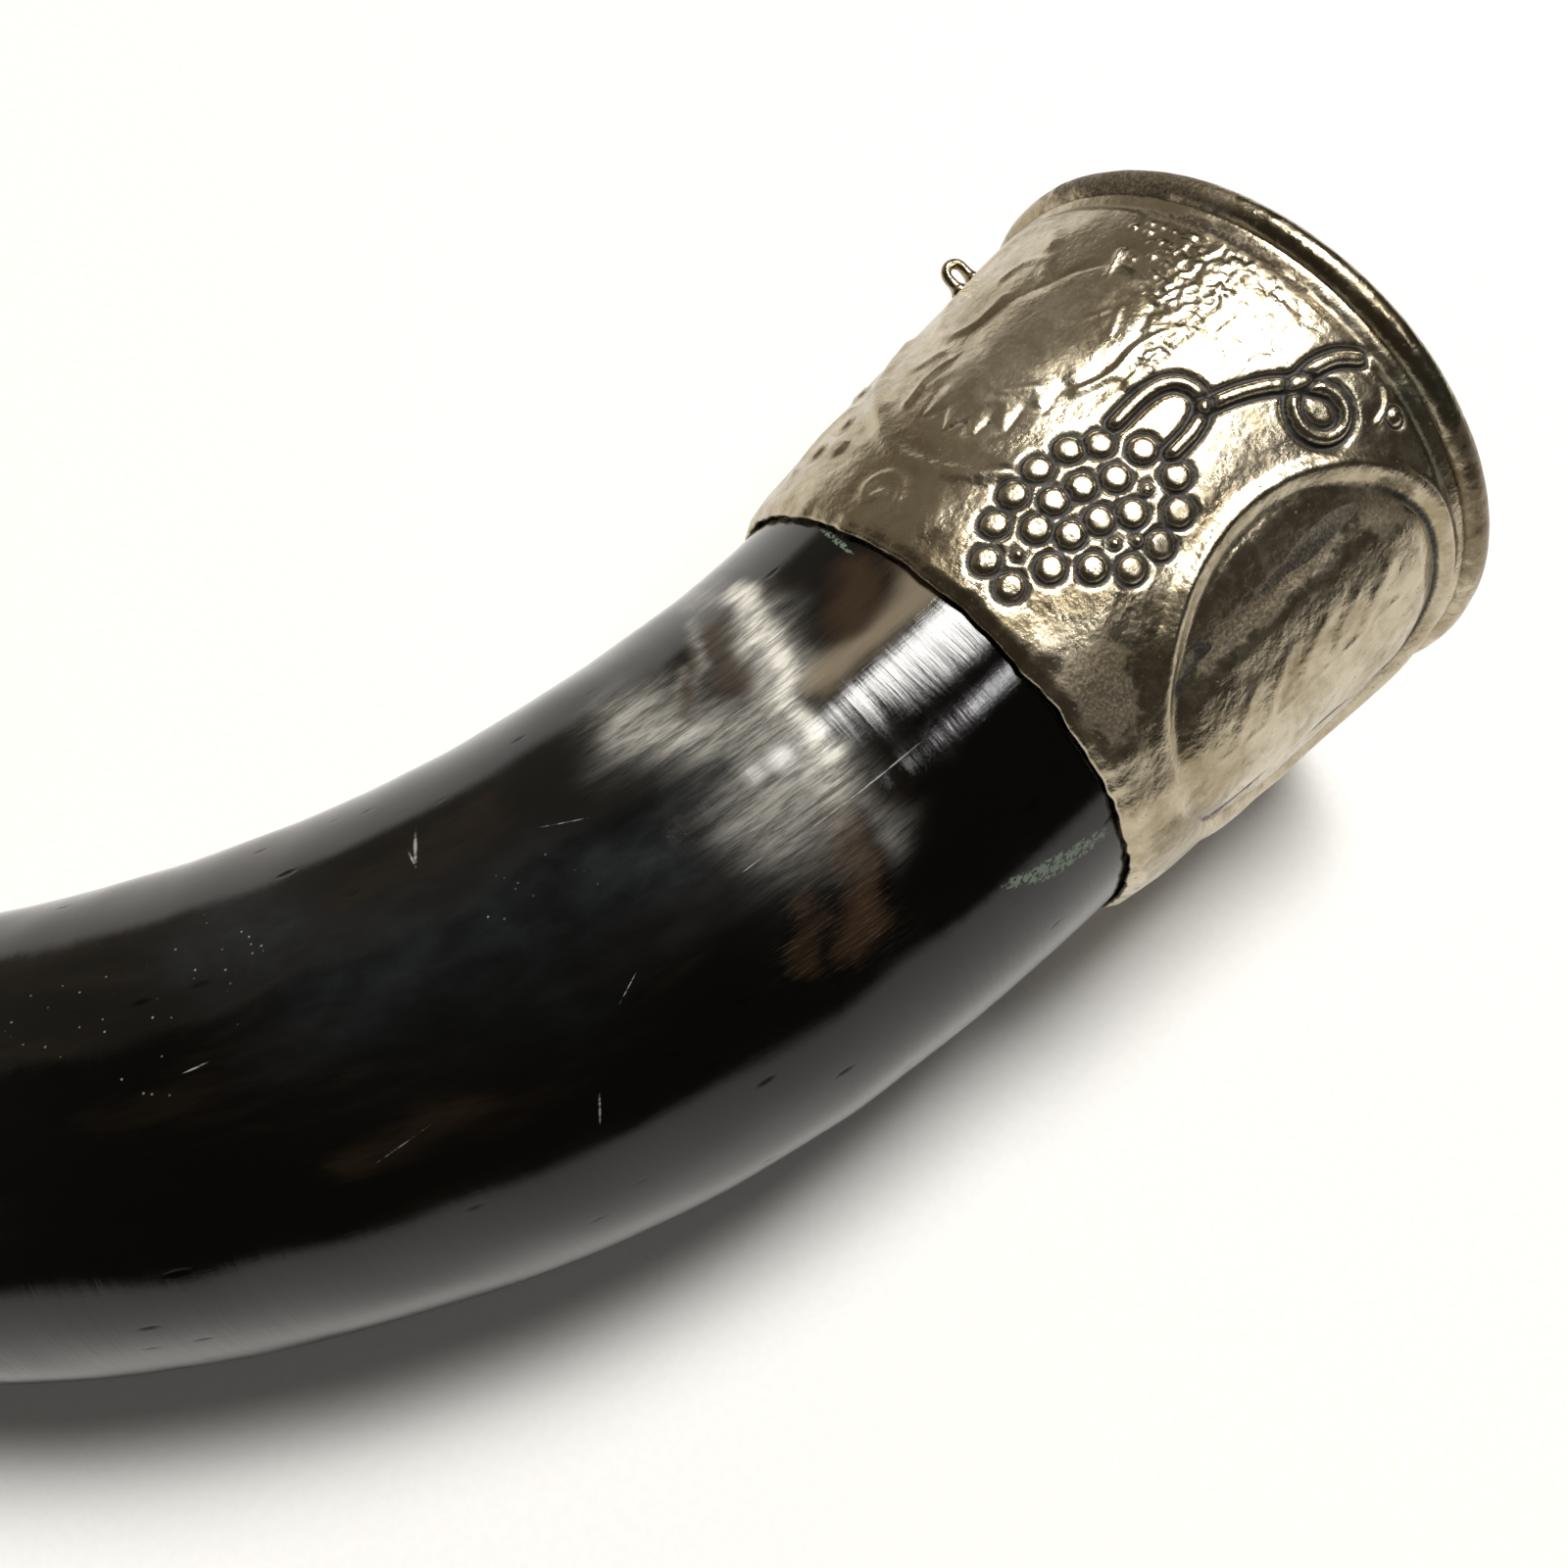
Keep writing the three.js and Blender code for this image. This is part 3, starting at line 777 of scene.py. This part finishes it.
# The horn's markings as soft strokes: their half-width in mm, strength and (theta, s) points.
HORN_COLOURS = {
    "pale": [
        (1.7, 1, [(124, 60), (116, 60.6), (108, 62), (98, 63.8), (88, 64.6), (79, 64.6)]),
        (3, 0.55, [(118, 61), (106, 63), (95, 65), (84, 66), (75, 66.4)]),
        (3.8, 0.42, [(95, 66), (99, 69.5), (104, 72.5), (112, 75.5)]),
        (4.2, 0.34, [(92, 67.5), (84, 69.5), (76, 69.5)]),
        (1.8, 0.3, [(113, 73), (118, 77)]),
        (2.2, 0.25, [(128, 60.6), (142, 59.6)]),
        (1.8, 0.14, [(72, 65), (60, 64)]),
        (1, 0.3, [(113, 68.4), (120, 66), (128, 63.6)]),
        (1, 0.22, [(110, 71.6), (117, 69)]),
        (7, 0.5, [(220, 66), (250, 74), (280, 70)]),
        (8, 0.4, [(190, 150), (210, 156)]),
        (12, 0.4, [(310, 225), (330, 240)]),
        (9, 0.4, [(60, 262), (100, 268)]),
        (7, 0.45, [(150, 302), (210, 298)]),
    ],
    "tan": [
        (3.4, 1, [(95, 46), (95.6, 53), (97, 59)]),
        (1.6, 0.5, [(98, 57), (104, 59.6)]),
        (14, 0.5, [(40, 292), (100, 286)]),
        (9, 0.6, [(200, 308), (280, 308)]),
        (5, 0.6, [(190, 62), (230, 60)]),
    ],
    "brown": [
        (3, 0.9, [(108, 51), (105, 54)]),
        (1.4, 0.7, [(109, 66.4), (116, 64.8), (124, 63)]),
        (1.2, 0.65, [(108, 70.6), (115, 68.6), (121, 66.6)]),
        (3, 0.45, [(60, 104), (54, 112)]),
        (4, 0.4, [(110, 92), (110, 106)]),
        (14, 0.5, [(150, 110), (150, 140)]),
        (16, 0.6, [(40, 230), (80, 250)]),
    ],
    "rust": [
        (3, 0.9, [(71, 67), (62, 68.6), (49, 70.6)]),
        (2, 0.7, [(60, 73.6), (50, 75)]),
        (3, 0.5, [(110, 70), (122, 66)]),
        (7, 0.6, [(250, 90), (280, 96)]),
        (9, 0.5, [(100, 200), (130, 215)]),
    ],
    "haze": [
        (4, 0.5, [(82, 80), (84, 86)]),
        (7, 0.32, [(88, 90), (92, 108)]),
        (5, 0.4, [(108, 112), (112, 118)]),
        (5, 0.3, [(74, 74), (98, 76)]),
        (18, 0.35, [(80, 165), (100, 200)]),
        (20, 0.35, [(250, 160), (270, 220)]),
    ],
    "ripples": [
        (16, 1, [(14, 60), (14, 300)]),
        (16, 0.8, [(190, 60), (190, 300)]),
        (8, 0.8, [(70, 50), (88, 54)]),
    ],
    "specks": [
        (8, 1, [(90, 126), (106, 132)]),
        (6, 0.85, [(86, 84), (92, 96)]),
        (7, 1, [(104, 120), (110, 116)]),
        (18, 0.7, [(80, 165), (110, 190)]),
        (24, 0.7, [(240, 140), (270, 200)]),
    ],
}


def stroke(s, theta, half_width, points):
    """1 on a line over the horn's surface, fading to 0 away from it."""
    across_mm = smooth_radius(HORN_OUTSIDE, s) * math.radians(1)
    nearest = np.full(s.shape, 1e6)
    for (theta_a, s_a), (theta_b, s_b) in zip(points, points[1:]):
        x = ((theta - theta_a + 180) % 360 - 180) * across_mm
        dx, dy = (theta_b - theta_a) * across_mm, s_b - s_a
        along = np.clip((x * dx + (s - s_a) * dy) / (dx * dx + dy * dy), 0, 1)
        nearest = np.minimum(nearest, np.hypot(x - along * dx, s - s_a - along * dy))
    return np.exp(-((nearest / half_width) ** 2))


def horn_masks(s, theta, r):
    """How strongly each colour shows at every point, with the strokes' edges made uneven."""
    drift = 1.6 * wobble(s * 0.7, theta, r, 5, 31) + 0.5 * wobble(s * 0.5, theta, r, 1.5, 32)
    theta = theta + 5 * wobble(s * 0.4, theta, r, 7, 33) + 1.5 * wobble(s * 0.4, theta, r, 1.8, 34)
    s = s + drift
    masks = {}
    for name, strokes in HORN_COLOURS.items():
        masks[name] = np.zeros(s.shape)
        for half_width, strength, points in strokes:
            masks[name] = np.maximum(masks[name], strength * stroke(s, theta, half_width, points))
    return masks


def make_horn():
    theta = np.arange(HORN_COLUMNS) * 360 / HORN_COLUMNS - 90
    patch_start, patch_end = PALE_PATCH
    outside_s = np.concatenate([
        np.linspace(HORN_MOUTH, patch_start, HIDDEN_ROWS, endpoint=False),
        np.linspace(patch_start, patch_end, PATCH_ROWS, endpoint=False),
        np.linspace(patch_end, HORN_LENGTH - LIP_ROUNDING, PLAIN_ROWS),
    ])
    outside_r = smooth_radius(HORN_OUTSIDE, outside_s)
    # Over the mouthpiece's lip, down its cup, and back through the bore to the bell.
    lip = [(HORN_LENGTH - 0.12, 9.08), (HORN_LENGTH, 8.8), (HORN_LENGTH, 7.5)]
    turn = np.radians(np.linspace(90, 0, CUP_ROWS))
    cup_s = HORN_LENGTH - CUP_DEPTH * np.cos(turn)
    cup_r = BORE_RADIUS + (CUP_RADIUS - BORE_RADIUS) * np.sin(turn)
    hollow_s = np.linspace(HORN_HOLLOW[-1][0], HORN_MOUTH, HOLLOW_ROWS)
    hollow_r = smooth_radius(HORN_HOLLOW, hollow_s)
    s = np.concatenate([outside_s, [p[0] for p in lip], cup_s, hollow_s])
    r = np.concatenate([outside_r, [p[1] for p in lip], cup_r, hollow_r])
    s = np.repeat(s[:, None], HORN_COLUMNS, 1)
    r = np.repeat(r[:, None], HORN_COLUMNS, 1)
    angle = np.broadcast_to(theta, s.shape)
    # The horn is lumpy between its fittings, and rippled all along behind the collar.
    free = step(COLLAR_LENGTH, COLLAR_LENGTH + 30, s) * (1 - step(270, 280, s))
    outer = np.arange(len(s))[:, None] < OUTSIDE_ROWS
    lumps = 0.35 * wobble(s * 0.6, angle, r, 26, 1) + 0.1 * wobble(s, angle, r, 8, 2)
    ripples = 0.015 * wobble(s, angle, r * 0.15, 1.6, 3)
    r = r + np.where(outer, free * lumps + ripples * step(48, 60, s), 0)
    masks = horn_masks(s, angle, r)
    return revolved("horn_shell", s, theta, r, HORN, ("horn_body",), masks)


# ---- the collar ----

FINE_FROM, FINE_TO = -14, 166  # degrees, the side that is seen
FINE_COLUMNS = 420
COARSE_COLUMNS = 190
COLLAR_ROWS = 156
COLLAR_INSIDE_ROWS = 5
HEM_FROM = 41  # where the sheet's edge starts to wander
HEM_TURN = 1.3  # how much of that edge is pressed down towards the horn
HEM_DROP, HEM_DROP_INSIDE = 0.4, 0.05


def make_collar():
    fine = np.linspace(FINE_FROM, FINE_TO, FINE_COLUMNS, endpoint=False)
    coarse = np.linspace(FINE_TO, FINE_FROM + 360, COARSE_COLUMNS, endpoint=False)
    theta = np.concatenate([fine, coarse])
    columns = len(theta)
    start = COLLAR_OUTSIDE[0][0]
    outside = np.linspace(start, COLLAR_LENGTH, COLLAR_ROWS)
    back = np.linspace(COLLAR_LENGTH, start, COLLAR_INSIDE_ROWS)
    s = np.repeat(np.concatenate([outside, back])[:, None], columns, 1)
    angle = np.broadcast_to(theta, s.shape)
    r = smooth_radius(COLLAR_OUTSIDE, s)
    is_outside = np.arange(len(s))[:, None] < COLLAR_ROWS
    # The relief starts under the rim, and neither end of the sheet is dented.
    height = from_map(height_map, angle, s) * step(start, start + 0.8, s)
    dents = 0.22 * wobble(s, angle, r, 11, 5) + 0.07 * wobble(s, angle, r, 4, 6)
    r = r + np.where(is_outside, height, -SHEET)
    r = r + dents * step(3, 8, s) * (1 - step(43, 46, s))
    hem = step(HEM_FROM, COLLAR_LENGTH, s)
    pressed = step(COLLAR_LENGTH - HEM_TURN, COLLAR_LENGTH, s)
    hidden_dirt = 0.6 * (s < COLLAR_LENGTH - 2)
    s = s + hem * (0.3 * wobble(s * 0, angle, r, 5, 7) + 0.16 * wobble(s * 0, angle, r, 1.6, 8))
    r = r + hem * 0.12 * wobble(s * 0, angle, r, 3, 9)
    r = r - np.where(is_outside, HEM_DROP, HEM_DROP_INSIDE) * pressed
    masks = {
        "dirt_and_shade": np.where(is_outside, from_map(dirt_and_shade_map, angle, s), hidden_dirt),
        "wear": np.where(is_outside, from_map(wear_map, angle, s), 0),
    }
    return revolved("embossed_collar", s, theta, r, EMBOSSED_SILVER, ("collar_sleeve",), masks)


# ---- rings: the rolled rim, the ferrule and its wires, the pitch ----

UNEVENNESS = 0.03  # of a ring's thickness, from handwork
RIM_MESH = (420, 32)  # columns round the horn, and corners of the section
WIRE_MESH = (200, 20)


def ring(name, s_middle, r_middle, radius, mesh, material, replaced, seed):
    """A rolled or drawn ring of nearly round section."""
    columns, corners = mesh
    theta = np.arange(columns) * 360 / columns - 90
    turn = np.radians(np.arange(corners) * -360 / corners)
    s = s_middle + np.repeat((radius * np.cos(turn))[:, None], columns, 1)
    r = r_middle + np.repeat((radius * np.sin(turn))[:, None], columns, 1)
    angle = np.broadcast_to(theta, s.shape)
    slow = wobble(s * 0, angle, r, 7, seed)
    quick = wobble(s, angle, r, 2, seed + 1)
    swell = 1 - UNEVENNESS + UNEVENNESS * slow + 0.4 * UNEVENNESS * quick
    s = s_middle + (s - s_middle) * swell
    r = r_middle + (r - r_middle) * swell
    return revolved(name, s, theta, r, material, replaced)


def band(name, s, r, thickness, columns, material, replaced, relief_at):
    """A band whose outside follows s and r and bears a relief, with an inside wall at that thickness."""
    theta = np.arange(columns) * 360 / columns - 90
    all_s = np.repeat(np.concatenate([s, s[::-1]])[:, None], columns, 1)
    all_r = np.repeat(np.concatenate([r, (r - thickness)[::-1]])[:, None], columns, 1)
    angle = np.broadcast_to(theta, all_s.shape)
    is_outside = np.arange(len(all_s))[:, None] < len(s)
    height = relief_at(all_s, angle)
    all_r = all_r + np.where(is_outside, height, 0)
    # What lies 0.1 mm deep is as dark as can be, and what stands 0.15 mm proud is as bright.
    masks = {
        "dirt_and_shade": np.where(is_outside, np.clip(-height / 0.1, 0, 1), 0.6),
        "wear": np.where(is_outside, np.clip(height / 0.15, 0, 1), 0),
    }
    return revolved(name, all_s, theta, all_r, material, replaced, masks)


RIM_INSET = 0.08  # taken off both radii, so that the uneven rim stays inside its solid


def make_rim():
    r_middle = RIM_RADIUS - RIM_TUBE_RADIUS - RIM_INSET
    radius = RIM_TUBE_RADIUS - RIM_INSET
    ring("rolled_rim", 0, r_middle, radius, RIM_MESH, PLAIN_SILVER, ("rim_tube",), 20)


WIRE_NEARER = 0.15  # how much nearer the sheet an edge wire is drawn than its solid
FERRULE_COLUMNS, FERRULE_ROWS = 360, 90
FERRULE_MEAN_RADIUS = 10.5
FERRULE_BEADS = 24
BEAD_RADIUS = 1.05
BEAD_GROOVE_RADIUS = 1.25


def chasing(s, theta):
    """Two chased lines near each edge and a row of punched beads between them."""
    u = s - FERRULE_START
    line_places = (3, 4, FERRULE_LENGTH - 4, FERRULE_LENGTH - 3)
    lines = sum(-0.14 * np.exp(-(((u - at) / 0.22) ** 2)) for at in line_places)
    around = (theta / 360 * FERRULE_BEADS) % 1 - 0.5
    across = around * 360 / FERRULE_BEADS * math.radians(1) * FERRULE_MEAN_RADIUS
    from_bead = np.hypot(across, u - FERRULE_LENGTH / 2)
    bead = 0.3 * np.sqrt(np.clip(1 - (from_bead / BEAD_RADIUS) ** 2, 0, 1))
    groove = -0.1 * np.exp(-(((from_bead - BEAD_GROOVE_RADIUS) / 0.22) ** 2))
    dents = 0.06 * wobble(s, theta, np.full(s.shape, 10.0), 4, 12)
    return lines + bead + groove + dents


def make_ferrule():
    end = FERRULE_START + FERRULE_LENGTH
    wires = (
        ("ferrule_wire_a", "ferrule_wire_bell_side", FERRULE_START + EDGE_WIRE_RADIUS),
        ("ferrule_wire_b", "ferrule_wire_mouth_side", end - EDGE_WIRE_RADIUS),
    )
    for name, node, s in wires:
        sheet = float(smooth_radius(HORN_OUTSIDE, np.array(s))) + 2 * GAP + SHEET
        r = sheet + (EDGE_WIRE_RADIUS - WIRE_NEARER)
        ring(name, s, r, EDGE_WIRE_RADIUS, WIRE_MESH, WIRE_SILVER, (node,), 30)
    s = np.linspace(FERRULE_START, end, FERRULE_ROWS)
    r = smooth_radius(HORN_OUTSIDE, s) + GAP + SHEET
    band(
        "chased_ferrule", s, r, SHEET, FERRULE_COLUMNS, FERRULE_SILVER, ("neck_ferrule",), chasing
    )


PITCH_FROM, PITCH_TO = 3.6, 45
PITCH_COLUMNS, PITCH_ROWS = 240, 40
PITCH_RADIUS = 28.0  # near enough, for its lumps


def lumpiness(s, theta):
    return 0.1 * wobble(s, theta, np.full(s.shape, PITCH_RADIUS), 1.4, 15)


def make_pitch():
    s = np.linspace(PITCH_FROM, PITCH_TO, PITCH_ROWS)
    r = smooth_radius(COLLAR_OUTSIDE, s) - SHEET - 0.1
    thickness = r - (smooth_radius(HORN_OUTSIDE, s) + 0.02)
    band("setting_pitch", s, r, thickness, PITCH_COLUMNS, PITCH, ("collar_cement",), lumpiness)


# ---- eyelets ----

EYE_SIDES = 20
LEG_STEPS, BOW_STEPS = 10, 15
EYE_THICKENED = 0.06  # how much larger the wire's radius is drawn than its solid's


def eyelet(name, s, sheet_radius, leg, replaced):
    """A staple of wire whose legs go through the sheet, with solder run round each of them."""
    straight = EYE_RISE - EYE_WIRE_RADIUS - EYE_HALF_WIDTH + leg
    top = straight - leg
    climb, descent = np.linspace(-leg, top, LEG_STEPS), np.linspace(top, -leg, LEG_STEPS)
    up = np.concatenate([climb, np.full(BOW_STEPS, top), descent])
    half_turn = np.linspace(0, math.pi, BOW_STEPS + 2)[1:-1]
    bow = np.concatenate([np.zeros(LEG_STEPS), half_turn, np.full(LEG_STEPS, math.pi)])
    up = up + EYE_HALF_WIDTH * np.sin(bow)
    along = -EYE_HALF_WIDTH * np.cos(bow)
    path = np.stack([along, up], -1)
    tangent = np.gradient(path, axis=0)
    tangent /= np.linalg.norm(tangent, axis=1)[:, None]
    across = np.stack([tangent[:, 1], -tangent[:, 0]], -1)
    solder = 0.9 * np.exp(-np.clip(up, 0, 9) / 0.35) * (up > -0.3)
    radius = (EYE_WIRE_RADIUS + EYE_THICKENED) * (1 + solder)
    turn = np.arange(EYE_SIDES) / EYE_SIDES * 2 * math.pi
    vertices, faces = [], []
    for i in range(len(path)):
        for angle in turn:
            in_plane = path[i] + across[i] * radius[i] * math.cos(angle)
            sideways = math.degrees(radius[i] * math.sin(angle) / sheet_radius)
            vertices.append(placed(s + in_plane[0], EYE_AROUND + sideways, sheet_radius + in_plane[1]))
    for i in range(len(path) - 1):
        row, next_row = i * EYE_SIDES, (i + 1) * EYE_SIDES
        for j in range(EYE_SIDES):
            k = (j + 1) % EYE_SIDES
            faces.append((row + j, row + k, next_row + k, next_row + j))
    faces.append(tuple(reversed(range(EYE_SIDES))))
    faces.append(tuple(range((len(path) - 1) * EYE_SIDES, len(path) * EYE_SIDES)))
    piece = new_object(name, np.array(vertices), faces, WIRE_SILVER, replaced)
    # An eyelet is no part of the horn's surface, so its material reads plain places.
    place = np.array(vertices) / MM
    add_attribute(piece, "straight", place)
    add_attribute(piece, "flat", place)
    return piece


def make_eyelets():
    collar_outside = float(smooth_radius(COLLAR_OUTSIDE, np.array(BELL_EYE_AT)))
    eyelet("bell_eyelet_wire", BELL_EYE_AT, collar_outside, BELL_EYE_LEG, ("bell_eyelet",))
    middle = FERRULE_START + FERRULE_LENGTH / 2
    ferrule_outside = float(smooth_radius(HORN_OUTSIDE, np.array(middle))) + GAP + SHEET
    eyelet("ferrule_eyelet_wire", middle, ferrule_outside, FERRULE_EYE_LEG, ("ferrule_eyelet",))


# ---- put it together ----


def face_outwards(piece):
    """Turn a closed piece's faces the right way round, by the sign of its volume."""
    mesh = piece.data
    mesh.calc_loop_triangles()
    corners = np.zeros(len(mesh.loop_triangles) * 3, np.int32)
    mesh.loop_triangles.foreach_get("vertices", corners)
    places = np.zeros(len(mesh.vertices) * 3)
    mesh.vertices.foreach_get("co", places)
    a, b, c = places.reshape(-1, 3)[corners.reshape(-1, 3)].transpose(1, 0, 2)
    if np.einsum("ij,ij->i", a, np.cross(b, c)).sum() < 0:
        mesh.flip_normals()


make_horn()
make_collar()
make_rim()
make_ferrule()
make_pitch()
make_eyelets()
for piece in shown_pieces():
    if piece.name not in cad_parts:
        face_outwards(piece)

# ---- table, light and camera ----

TABLE_HALF = 3  # m


def make_table():
    corners = [(x * TABLE_HALF, y * TABLE_HALF, 0) for x, y in ((-1, -1), (1, -1), (1, 1), (-1, 1))]
    mesh = bpy.data.meshes.new("table_top")
    mesh.from_pydata(corners, [], [(0, 1, 2, 3)])
    mesh.materials.append(table_material())
    table = bpy.data.objects.new("table_top", mesh)
    bpy.context.scene.collection.objects.link(table)


def area_light(name, direction, distance, size, power, colour):
    light = bpy.data.lights.new(name, "AREA")
    light.shape = "RECTANGLE"
    light.size, light.size_y = size
    light.energy = power
    light.color = colour
    lamp = bpy.data.objects.new(name, light)
    towards = Vector(direction).normalized()
    lamp.location = RIM_CENTRE + towards * distance
    lamp.rotation_euler = towards.to_track_quat("Z", "Y").to_euler()
    lamp.visible_camera = False
    bpy.context.scene.collection.objects.link(lamp)


STUDIO_COLOUR = (0.6, 0.52, 0.42)
STUDIO_STRENGTH = 0.07
# Each lamp: its name, direction from the rim, distance, width and length, power and colour.
LAMPS = (
    ("softbox", (0.35, 0.11, 0.93), 4.5, (1.8, 1.45), 265, (1, 0.985, 0.95)),
    ("window_strip", (0.245, -0.362, 0.9), 3, (0.28, 0.2), 6, (1, 1, 1)),
    ("back_panel", (0.1, 1, 0.5), 2.4, (3.6, 2.4), 4.6, (1, 0.88, 0.7)),
)


def make_light():
    world = bpy.data.worlds.new("studio")
    world.use_nodes = True
    background = world.node_tree.nodes["Background"]
    background.inputs["Color"].default_value = (*STUDIO_COLOUR, 1)
    background.inputs["Strength"].default_value = STUDIO_STRENGTH
    bpy.context.scene.world = world
    for lamp in LAMPS:
        area_light(*lamp)
    bpy.context.scene.view_settings.view_transform = "Standard"


CAMERA_FROM_RIM = (-108.8, -30.5, 134.2)  # mm
CAMERA_TURNS = (22.74, -2.8, -45.44)  # degrees about X, Y and Z
LENS = 33.63  # mm, on a sensor 36 mm wide


def make_camera():
    camera = bpy.data.cameras.new("camera")
    camera.lens = LENS
    camera.sensor_width = 36
    camera.clip_start = 0.01
    holder = bpy.data.objects.new("camera", camera)
    holder.location = RIM_CENTRE + Vector(CAMERA_FROM_RIM) * MM
    holder.rotation_euler = [math.radians(turn) for turn in CAMERA_TURNS]
    bpy.context.scene.collection.objects.link(holder)
    bpy.context.scene.camera = holder


make_table()
make_light()
make_camera()
